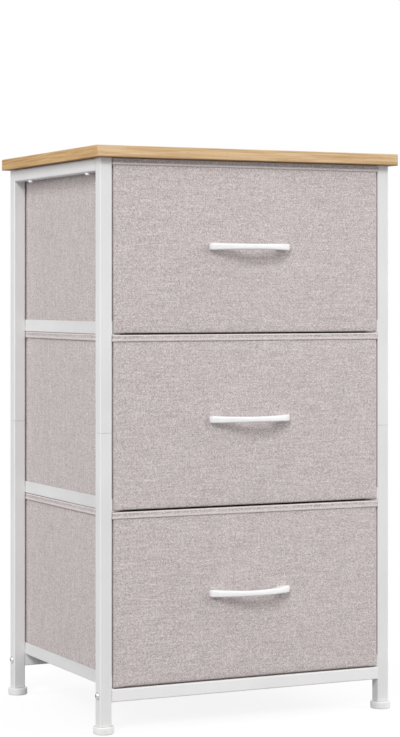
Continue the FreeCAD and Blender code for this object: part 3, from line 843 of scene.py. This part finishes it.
cloth = linen("linen_cloth", CLOTH)
for index, drawer in enumerate(DRAWERS):
    name = f"drawer_{drawer}_cover"
    low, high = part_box(name)
    first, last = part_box(f"drawer_{drawer}_handle")
    reach = Vector((last.x - first.x - HANDLE_FOOT, 0, 0))
    held = [(first, last - reach), (first + reach, last)]
    slack = Vector((CLOTH_SLACK, 0, 0))
    cover = cloth_box(name + "_cloth", low + slack, high - slack, CLOTH_CORNER, cloth, CLOTH_BELLY,
                      seed=3.1 * index, held=held, drawn=SEAM_DRAW, edge=CLOTH_EDGE[drawer],
                      rise=CLOTH_RISE[drawer])
    sewn(cover, CLOTH_THICK, "drawer_" + drawer, name)


# Drawer boards
# Grey fibreboard, 3 mm thick, sewn in between the cover and the lining: one board in the front,
# and one in each side and the back.
BOARD = (168, 156, 140)
BOARD_FIBRE = (140, 127, 110)
BOARD_SPECK = (96, 84, 70)
BOARD_FELTED = (420, 420, 900)
BOARD_SPECKS = 900


def fibreboard():
    """Pressed fibres with darker specks."""
    finish, place = new_finish("fibreboard", 0.8)
    fibre = cloudy(place, BOARD_FELTED, 4, 0.6)
    specks = spread(cloudy(place, BOARD_SPECKS, 1), 0.62, 0.72)
    tone = tinted(spread(fibre, 0.35, 0.65), BOARD, BOARD_FIBRE)
    tone = tinted(product(specks, 0.4), tone, BOARD_SPECK)
    return coated(finish, tone, fibre, 0.1 * MM)


board = fibreboard()
for drawer in DRAWERS:
    dress(board, f"drawer_{drawer}_front_board", f"drawer_{drawer}_side_boards")


# Drawer linings
# Light non-woven cloth, bonded in small points, sewn in as an inner box over the boards.
FELT = ((206, 200, 196), (188, 181, 176))
FELT_FIBRE = 1100
FELT_CLOUD = 130
FELT_DEPTH = 0.12 * MM
BOND_PITCH = 1.7 * MM
LINING_CORNER = 2.2 * MM
LINING_THICK = 0.5 * MM
LINING_HOLLOW = -0.25 * MM


def rows_along(place, rate, wave):
    """Waves over a piece, at so many radians to a metre along each axis."""
    return maths(wave, behind("ShaderNodeVectorMath", {0: place, 1: rate}, operation="DOT_PRODUCT")["Value"])


def bonded_cloth(name, base, dark):
    """Non-woven cloth: tangled fibres, pressed together in rows of small points."""
    finish, place = new_finish(name, 0.9, Sheen_Weight=0.1)
    fibres, cloud = cloudy(place, FELT_FIBRE, 4, 1.2), cloudy(place, FELT_CLOUD)
    rate = math.pi / BOND_PITCH
    rates = ((rate, rate, rate), (rate, -rate, rate), (rate, rate, -rate))
    waves = [rows_along(place, rate, "COSINE") for rate in rates]
    bonds = spread(maths("ABSOLUTE", product(*waves)), 0.3, 0.75)
    share = product(maths("ADD", fibres, cloud), 0.5)
    tone = tinted(spread(share, 0.38, 0.62), base, dark)
    tone = tinted(product(bonds, 0.5), tone, dark)
    return coated(finish, tone, maths("SUBTRACT", fibres, bonds), FELT_DEPTH)


felt = bonded_cloth("lining_cloth", *FELT)
for index, drawer in enumerate(DRAWERS):
    name = f"drawer_{drawer}_lining"
    lining = cloth_box(name + "_cloth", *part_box(name), LINING_CORNER, felt, LINING_HOLLOW,
                       seed=7.7 + index)
    sewn(lining, LINING_THICK, "drawer_" + drawer, name)


# Drawer bindings
# A strip of the cover's cloth folded over the top edge of all the layers, its raw edges turned
# under. The turned edge stands up as a small ridge and ends in a lip, with the seam through it.
BINDING = (197, 187, 186)
BINDING_BACK = 4.6
BINDING_OUTER = [
    (0.02, 210.0), (0.3, 209.72), (0.68, 209.74), (0.94, 210.1), (1.06, 210.7), (1.12, 211.4),
    (1.12, 212.1), (1.04, 212.8), (0.88, 213.4), (0.74, 214.1), (0.72, 214.8), (0.8, 215.6),
    (0.86, 216.4), (0.78, 217.1), (0.52, 217.65), (0.1, 217.95), (-0.5, 218.06),
]
BINDING_TOP = [(-1.6, 218.1), (-2.9, 218.1)]
BINDING_INSIDE = [(-BINDING_BACK + 0.02, 217.15), (-0.02, 217.15)]
BINDING_LIFT = {"top": 0.3 * MM, "middle": 0.4 * MM, "bottom": 0.1 * MM}
# Painted highlight bands on the binding's top fold and on its ridge: place across the cloth and width.
BINDING_HIGHLIGHTS = [(2.9 * MM, 1.3 * MM), (8.6 * MM, 0.9 * MM)]
STITCH_PITCH = 4.4 * MM
SEAM_UP = 212.0 * MM
SEAM_WIDTH = 1.1 * MM
SEAM_DEPTH = -0.1 * MM

inner = [(-BINDING_BACK - out, up) for out, up in reversed(BINDING_OUTER)]
profile = BINDING_OUTER + BINDING_TOP + inner + BINDING_INSIDE + BINDING_OUTER[:1]
strip = linen("binding_cloth", BINDING, BINDING_HIGHLIGHTS)
rims = {}
for drawer in DRAWERS:
    low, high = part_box(f"drawer_{drawer}_cover")
    rim = rounded_path(high.x - low.x, high.y - low.y, CLOTH_CORNER, STITCH_PITCH / 6, parts=8)
    middle = Vector(((low.x + high.x) / 2, (low.y + high.y) / 2, low.z + BINDING_LIFT[drawer]))
    rim["places"] = [place + middle for place in rim["places"]]
    rim["stitches"] = round(rim["runs"][-1] / STITCH_PITCH)
    rims[drawer] = rim
    binding = swept(f"drawer_{drawer}_binding_strip", rim, profile, strip, Middle=middle,
                    Half=(high - low) / 2, Seam_Height=SEAM_UP, Seam_Width=SEAM_WIDTH,
                    Seam_Depth=SEAM_DEPTH, Stitch_Pitch=rim["runs"][-1] / rim["stitches"])
    placed(binding, "drawer_" + drawer, f"drawer_{drawer}_binding", angle=60)


# Binding seams
# One row of lock stitches through each binding, so a row shows outside and another inside. The
# thread is spun polyester a shade lighter than the cloth.
STITCH_LONG = 3.3
STITCH_ROUND = 0.62
STITCH_BLUNT = 0.6
STITCH_OUT = 1.16
STITCH_LEAN = 0.07
STITCH_LOOSE = 0.05
STITCH_SIDES = 8
STITCH_RINGS = 6
SEWING = (224, 217, 215)
THREAD_CLOUD = 2500
PLIES = (9000, 9000, 12000)


def stitch_tree():
    """A tree that sets stitches evenly round a closed rim, each along it with a slight lean."""
    tree, given = new_tree(
        "stitches", Stitch="Object", Count="Int", Out="Float", Up="Float", Lean="Float",
        Loose="Float", Seed="Int", Finish="Material",
    )
    rim = behind("GeometryNodeMeshToCurve", {0: given["Geometry"]})[0]
    row = behind("GeometryNodeCurveToPoints", {"Curve": rim, "Count": given["Count"]}, mode="COUNT")
    sideways = scaled(stored(tree, "outward"), given["Out"])
    shift = vectors("ADD", sideways, combined(z=given["Up"]))
    spots = behind("GeometryNodeSetPosition", {"Geometry": row[0], "Offset": shift})[0]
    tangent = {"Vector": row["Tangent"]}
    along = behind("FunctionNodeAlignRotationToVector", tangent, axis="X", pivot_axis="Z")[0]
    lean = maths("ADD", uneven(given["Loose"], given["Seed"]), given["Lean"])
    stitch = form_of(given["Stitch"])
    return ended(set_on(spots, stitch, along, combined(y=lean)), given["Finish"])


def grain_of_thread():
    """One stitch: a grain of thread along X with rounded, tapered ends."""
    far = STITCH_LONG / 2 * MM
    points, faces = [(-far, 0, 0)], []
    for ring in range(1, STITCH_RINGS):
        angle = math.pi * ring / STITCH_RINGS
        size = STITCH_ROUND / 2 * math.sin(angle) ** STITCH_BLUNT * MM
        turns = [math.tau * side / STITCH_SIDES for side in range(STITCH_SIDES)]
        points += [(-far * math.cos(angle), size * math.cos(turn), size * math.sin(turn)) for turn in turns]
    points.append((far, 0, 0))
    last = len(points) - 1
    for side in range(STITCH_SIDES):
        after = (side + 1) % STITCH_SIDES
        faces.append((0, 1 + after, 1 + side))
        for start in range(1, last - STITCH_SIDES, STITCH_SIDES):
            beyond = start + STITCH_SIDES
            faces.append((start + side, start + after, beyond + after, beyond + side))
        faces.append((last - STITCH_SIDES + side, last - STITCH_SIDES + after, last))
    return new_piece("stitch", points, faces)


def spun_thread():
    """Polyester thread, its plies twisted round it."""
    finish, place = new_finish("sewing_thread", 0.6, Sheen_Weight=0.2)
    tone = tinted(spread(cloudy(place, THREAD_CLOUD), 0.35, 0.7), SEWING, CLOTH)
    return coated(finish, tone, rows_along(place, PLIES, "SINE"), 0.03 * MM)


thread = spun_thread()
stitcher = stitch_tree()
grain = grain_of_thread()
for index, drawer in enumerate(DRAWERS):
    rim = rims[drawer]
    for label, out in (("outer", STITCH_OUT), ("inner", -BINDING_BACK - STITCH_OUT)):
        row = polyline(f"drawer_{drawer}_{label}_seam", rim["places"][:-1], True, thread,
                       outward=rim["outward"][:-1])
        grown_from(row, stitcher, Stitch=grain, Count=rim["stitches"], Out=out * MM, Up=SEAM_UP,
                   Lean=STITCH_LEAN, Loose=STITCH_LOOSE, Seed=index, Finish=thread)
        placed(row, "drawer_" + drawer, angle=80)
bpy.data.objects.remove(grain)


# Drawer base boards
# A loose board in the bottom of each drawer, wrapped in the lining's cloth. It keeps the floor
# flat, and lifts out so that the drawer can fold.
WRAP = ((196, 189, 184), (176, 168, 163))
wrap = bonded_cloth("base_board_wrap", *WRAP)
for drawer in DRAWERS:
    dress(wrap, f"drawer_{drawer}_base_board")


# Handles
# A bowed bar moulded in glossy white plastic, one on each drawer. It widens into a flat foot at
# each end, and is waisted in height towards the middle.
BOW_FRONT = 90.09
BOW_BACK = 50.45
BOW_BACK_CENTRE = 29.95
BOW_REACH = 26
BOW_CLEAR = 40.6
BOW_HALF = 56.6
BOW_RINGS = 56
WAIST = 1602.3
WAIST_HALF = 3.5
HANDLE_END_ROUND = 2.4
HANDLE_EDGE = 2.3
SEAT_EDGE = 0.12
SEAT_FADE = 6
HANDLE_WHITE = ((249, 249, 249), (243, 243, 244))
HANDLE_FLOW = (40, 160, 160)
HANDLE_WAVE = 260
HANDLE_LIFT = {"top": 0.1 * MM, "middle": 0.95 * MM, "bottom": 0.75 * MM}


def handle_section(x, inset):
    """The handle's rounded section at one place along it: rows of out and up, in millimetres."""
    front = -BOW_REACH + BOW_FRONT - math.sqrt(BOW_FRONT ** 2 - x * x) + inset
    back = 0.0
    if abs(x) < BOW_CLEAR:
        back = min(BOW_BACK_CENTRE - math.sqrt(BOW_BACK ** 2 - x * x), 0.0) - inset
    half = WAIST_HALF + WAIST - math.sqrt(WAIST ** 2 - x * x) - inset
    soft = min(HANDLE_EDGE, half * 0.95, (back - front) * 0.48)
    seat = soft * min(1, max(SEAT_EDGE, (BOW_CLEAR - abs(x)) / SEAT_FADE))
    return [
        *arc((front + soft, half - soft), (soft, soft), 90),
        *arc((front + soft, soft - half), (soft, soft), 180),
        *arc((back - seat, seat - half), (seat, seat), 270),
        *arc((back - seat, half - seat), (seat, seat), 0),
    ]


def glossy_plastic():
    """White plastic from a polished mould, with faint flow clouds and a slight waviness."""
    finish, place = new_finish("glossy_white_plastic", 0.14)
    flow = cloudy(place, HANDLE_FLOW, 3, 0.8)
    tone = tinted(spread(flow, 0.4, 0.7), *HANDLE_WHITE)
    rough = spread(flow, 0.3, 0.7, 0.1, 0.18)
    return coated(finish, tone, cloudy(place, HANDLE_WAVE, 1), 0.02 * MM, rough)


plastic = glossy_plastic()
straight = BOW_HALF - HANDLE_END_ROUND
stations = arc((-straight, HANDLE_END_ROUND), (-HANDLE_END_ROUND, -HANDLE_END_ROUND))
stations += [(-straight + 2 * straight * part / BOW_RINGS, 0) for part in range(1, BOW_RINGS)]
stations += [(-x, inset) for x, inset in reversed(stations[:6])]
for drawer in DRAWERS:
    low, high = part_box(f"drawer_{drawer}_handle")
    middle_x, middle_z = (low.x + high.x) / 2, (low.z + high.z) / 2 + HANDLE_LIFT[drawer]
    points = [(middle_x + x * MM, high.y + y * MM, middle_z + z * MM)
              for x, inset in stations for y, z in handle_section(x, inset)]
    faces = walls(len(stations), len(points) // len(stations))
    handle = settled(new_piece(f"drawer_{drawer}_handle_bow", points, faces, plastic))
    placed(handle, "drawer_" + drawer, f"drawer_{drawer}_handle", angle=50)


# Handle screws
# Two pan-headed steel screws to each handle, driven from inside the drawer through the lining,
# the board and the cover.
PAN_HEAD = (3.8, 2.2)
PAN_WALL = 0.9
PAN_EDGE = 0.25
PAN_SHANK = 1.5
ZINC = ((206, 208, 210), (160, 162, 166))
zinc = plated_steel("zinc_plating", *ZINC, 0.3)
radius, height = PAN_HEAD
for index, drawer in enumerate(DRAWERS):
    name = f"drawer_{drawer}_handle_screw"
    low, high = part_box(name + "s")
    seat = high.y - height * MM
    reach = (seat - low.y) / MM
    profile = [
        (0, -reach), (PAN_SHANK - 0.6, -reach + 0.6), (PAN_SHANK, -reach + 2.2), (PAN_SHANK, 0),
        (radius - PAN_EDGE, 0), (radius, PAN_EDGE), *domed(radius, height, PAN_WALL),
    ]
    up = (low.z + high.z) / 2 + HANDLE_LIFT[drawer]
    spots = [(x, seat, up) for x in (low.x + radius * MM, high.x - radius * MM)]
    fastened(name + "_pair", "drawer_" + drawer, name + "s", spots, [(0, 1, 0)] * 2,
             profile, cross_recess(height), zinc, seed=20 + index)


# Photograph's view
# The camera stands left of the front, level, at the height of the middle drawer. The picture's
# middle lies below the horizon, so the lens is shifted down and uprights stay upright.
PICTURE = (400, 737)
FOCAL_PIXELS = 2176.8
HORIZON_ROW = 295.73
CAMERA_PLACE = (-1.25962, -2.63034, 0.54376)
CAMERA_TURN = -25.63

data = bpy.data.cameras.new("camera")
data.lens = FOCAL_PIXELS / max(PICTURE) * data.sensor_width
data.shift_y = (HORIZON_ROW - PICTURE[1] / 2) / max(PICTURE)
camera = linked("camera", data)
camera.location = CAMERA_PLACE
camera.rotation_euler = (math.radians(90), 0, math.radians(CAMERA_TURN))
bpy.context.scene.camera = camera


# Studio
# A white floor that keeps the tower's soft shadow and fades to plain white, large soft lamps in
# front and behind, one overhead, and even light from all round.
FLOOR_HALF = 7
FLOOR_PALE = 0.4
FLOOR_SEEN = 1.15
FLOOR_GLOW = 0.88
FADE_NEAR = 0.32
FADE_FAR = 0.75
AMBIENT = 0.26
TOWER_MIDDLE = 0.36
TOP_LAMP = (2.4, 10, (0, -0.4, 2.6))
LAMPS = {
    "key_lamp": (-38, 32, 9.0, 2.7, 420),
    "side_lamp": (60, 22, 5.5, 4.2, 182),
    "left_lamp": (-97, 20, 5.0, 2.3, 72),
    "back_lamp": (150, 14, 5.0, 3.0, 135),
}
FILL_LAMPS = ("side_lamp", "back_lamp")


def seen_directly(tree):
    """1 for rays straight from the camera, or through a mirror or glass."""
    path = added(tree, "ShaderNodeLightPath").outputs
    mirror = maths("MAXIMUM", path["Is Glossy Ray"], path["Is Transmission Ray"])
    return maths("MAXIMUM", path["Is Camera Ray"], mirror)


def studio_floor():
    """White floor: lit near the tower, plain white further out."""
    finish = bpy.data.materials.new("studio_floor")
    finish.use_nodes = True
    tree = finish.node_tree
    tree.nodes.clear()
    away = behind("ShaderNodeVectorMath", {0: on_piece(tree)}, operation="LENGTH")["Value"]
    far = spread(away, FADE_NEAR, FADE_FAR, FLOOR_GLOW, 1)
    seen = seen_directly(tree)
    lit = behind("ShaderNodeBsdfDiffuse", {"Color": spread(seen, 0, 1, FLOOR_PALE, FLOOR_SEEN)})[0]
    glow = added(tree, "ShaderNodeEmission", {"Color": (1, 1, 1, 1), "Strength": 1}).outputs[0]
    mixed = behind("ShaderNodeMixShader", {0: product(far, seen), 1: lit, 2: glow})[0]
    behind("ShaderNodeOutputMaterial", {"Surface": mixed})
    return finish


rim = [(x * FLOOR_HALF, y * FLOOR_HALF, 0) for x, y in ((-1, -1), (1, -1), (1, 1), (-1, 1))]
new_piece("studio_floor", rim, [(0, 1, 2, 3)], studio_floor())

world = bpy.data.worlds.new("studio")
bpy.context.scene.world = world
world.use_nodes = True
background = world.node_tree.nodes["Background"]
background.inputs["Color"].default_value = (1, 1, 1, 1)
level = spread(seen_directly(world.node_tree), 0, 1, AMBIENT, 1)
world.node_tree.links.new(level, background.inputs["Strength"])


def soft_lamp(name, size, watts, place):
    """A square lamp that looks at the middle of the tower. A fill lamp leaves no glare."""
    lamp = bpy.data.lights.new(name, "AREA")
    lamp.size = size
    lamp.energy = watts
    holder = linked(name, lamp)
    holder.location = place
    aim = Vector((0, 0, TOWER_MIDDLE)) - Vector(place)
    holder.rotation_euler = aim.to_track_quat("-Z", "Y").to_euler()
    holder.visible_glossy = name not in FILL_LAMPS


def placed_round(azimuth, elevation, distance):
    """A place round the tower: azimuth 0 is straight in front, and below 0 is to the left."""
    turn, rise = math.radians(azimuth), math.radians(elevation)
    return (distance * math.sin(turn) * math.cos(rise), -distance * math.cos(turn) * math.cos(rise),
            TOWER_MIDDLE + distance * math.sin(rise))


for name, (azimuth, elevation, distance, size, watts) in LAMPS.items():
    soft_lamp(name, size, watts, placed_round(azimuth, elevation, distance))
soft_lamp("top_lamp", *TOP_LAMP)

bpy.context.scene.view_settings.view_transform = "Standard"
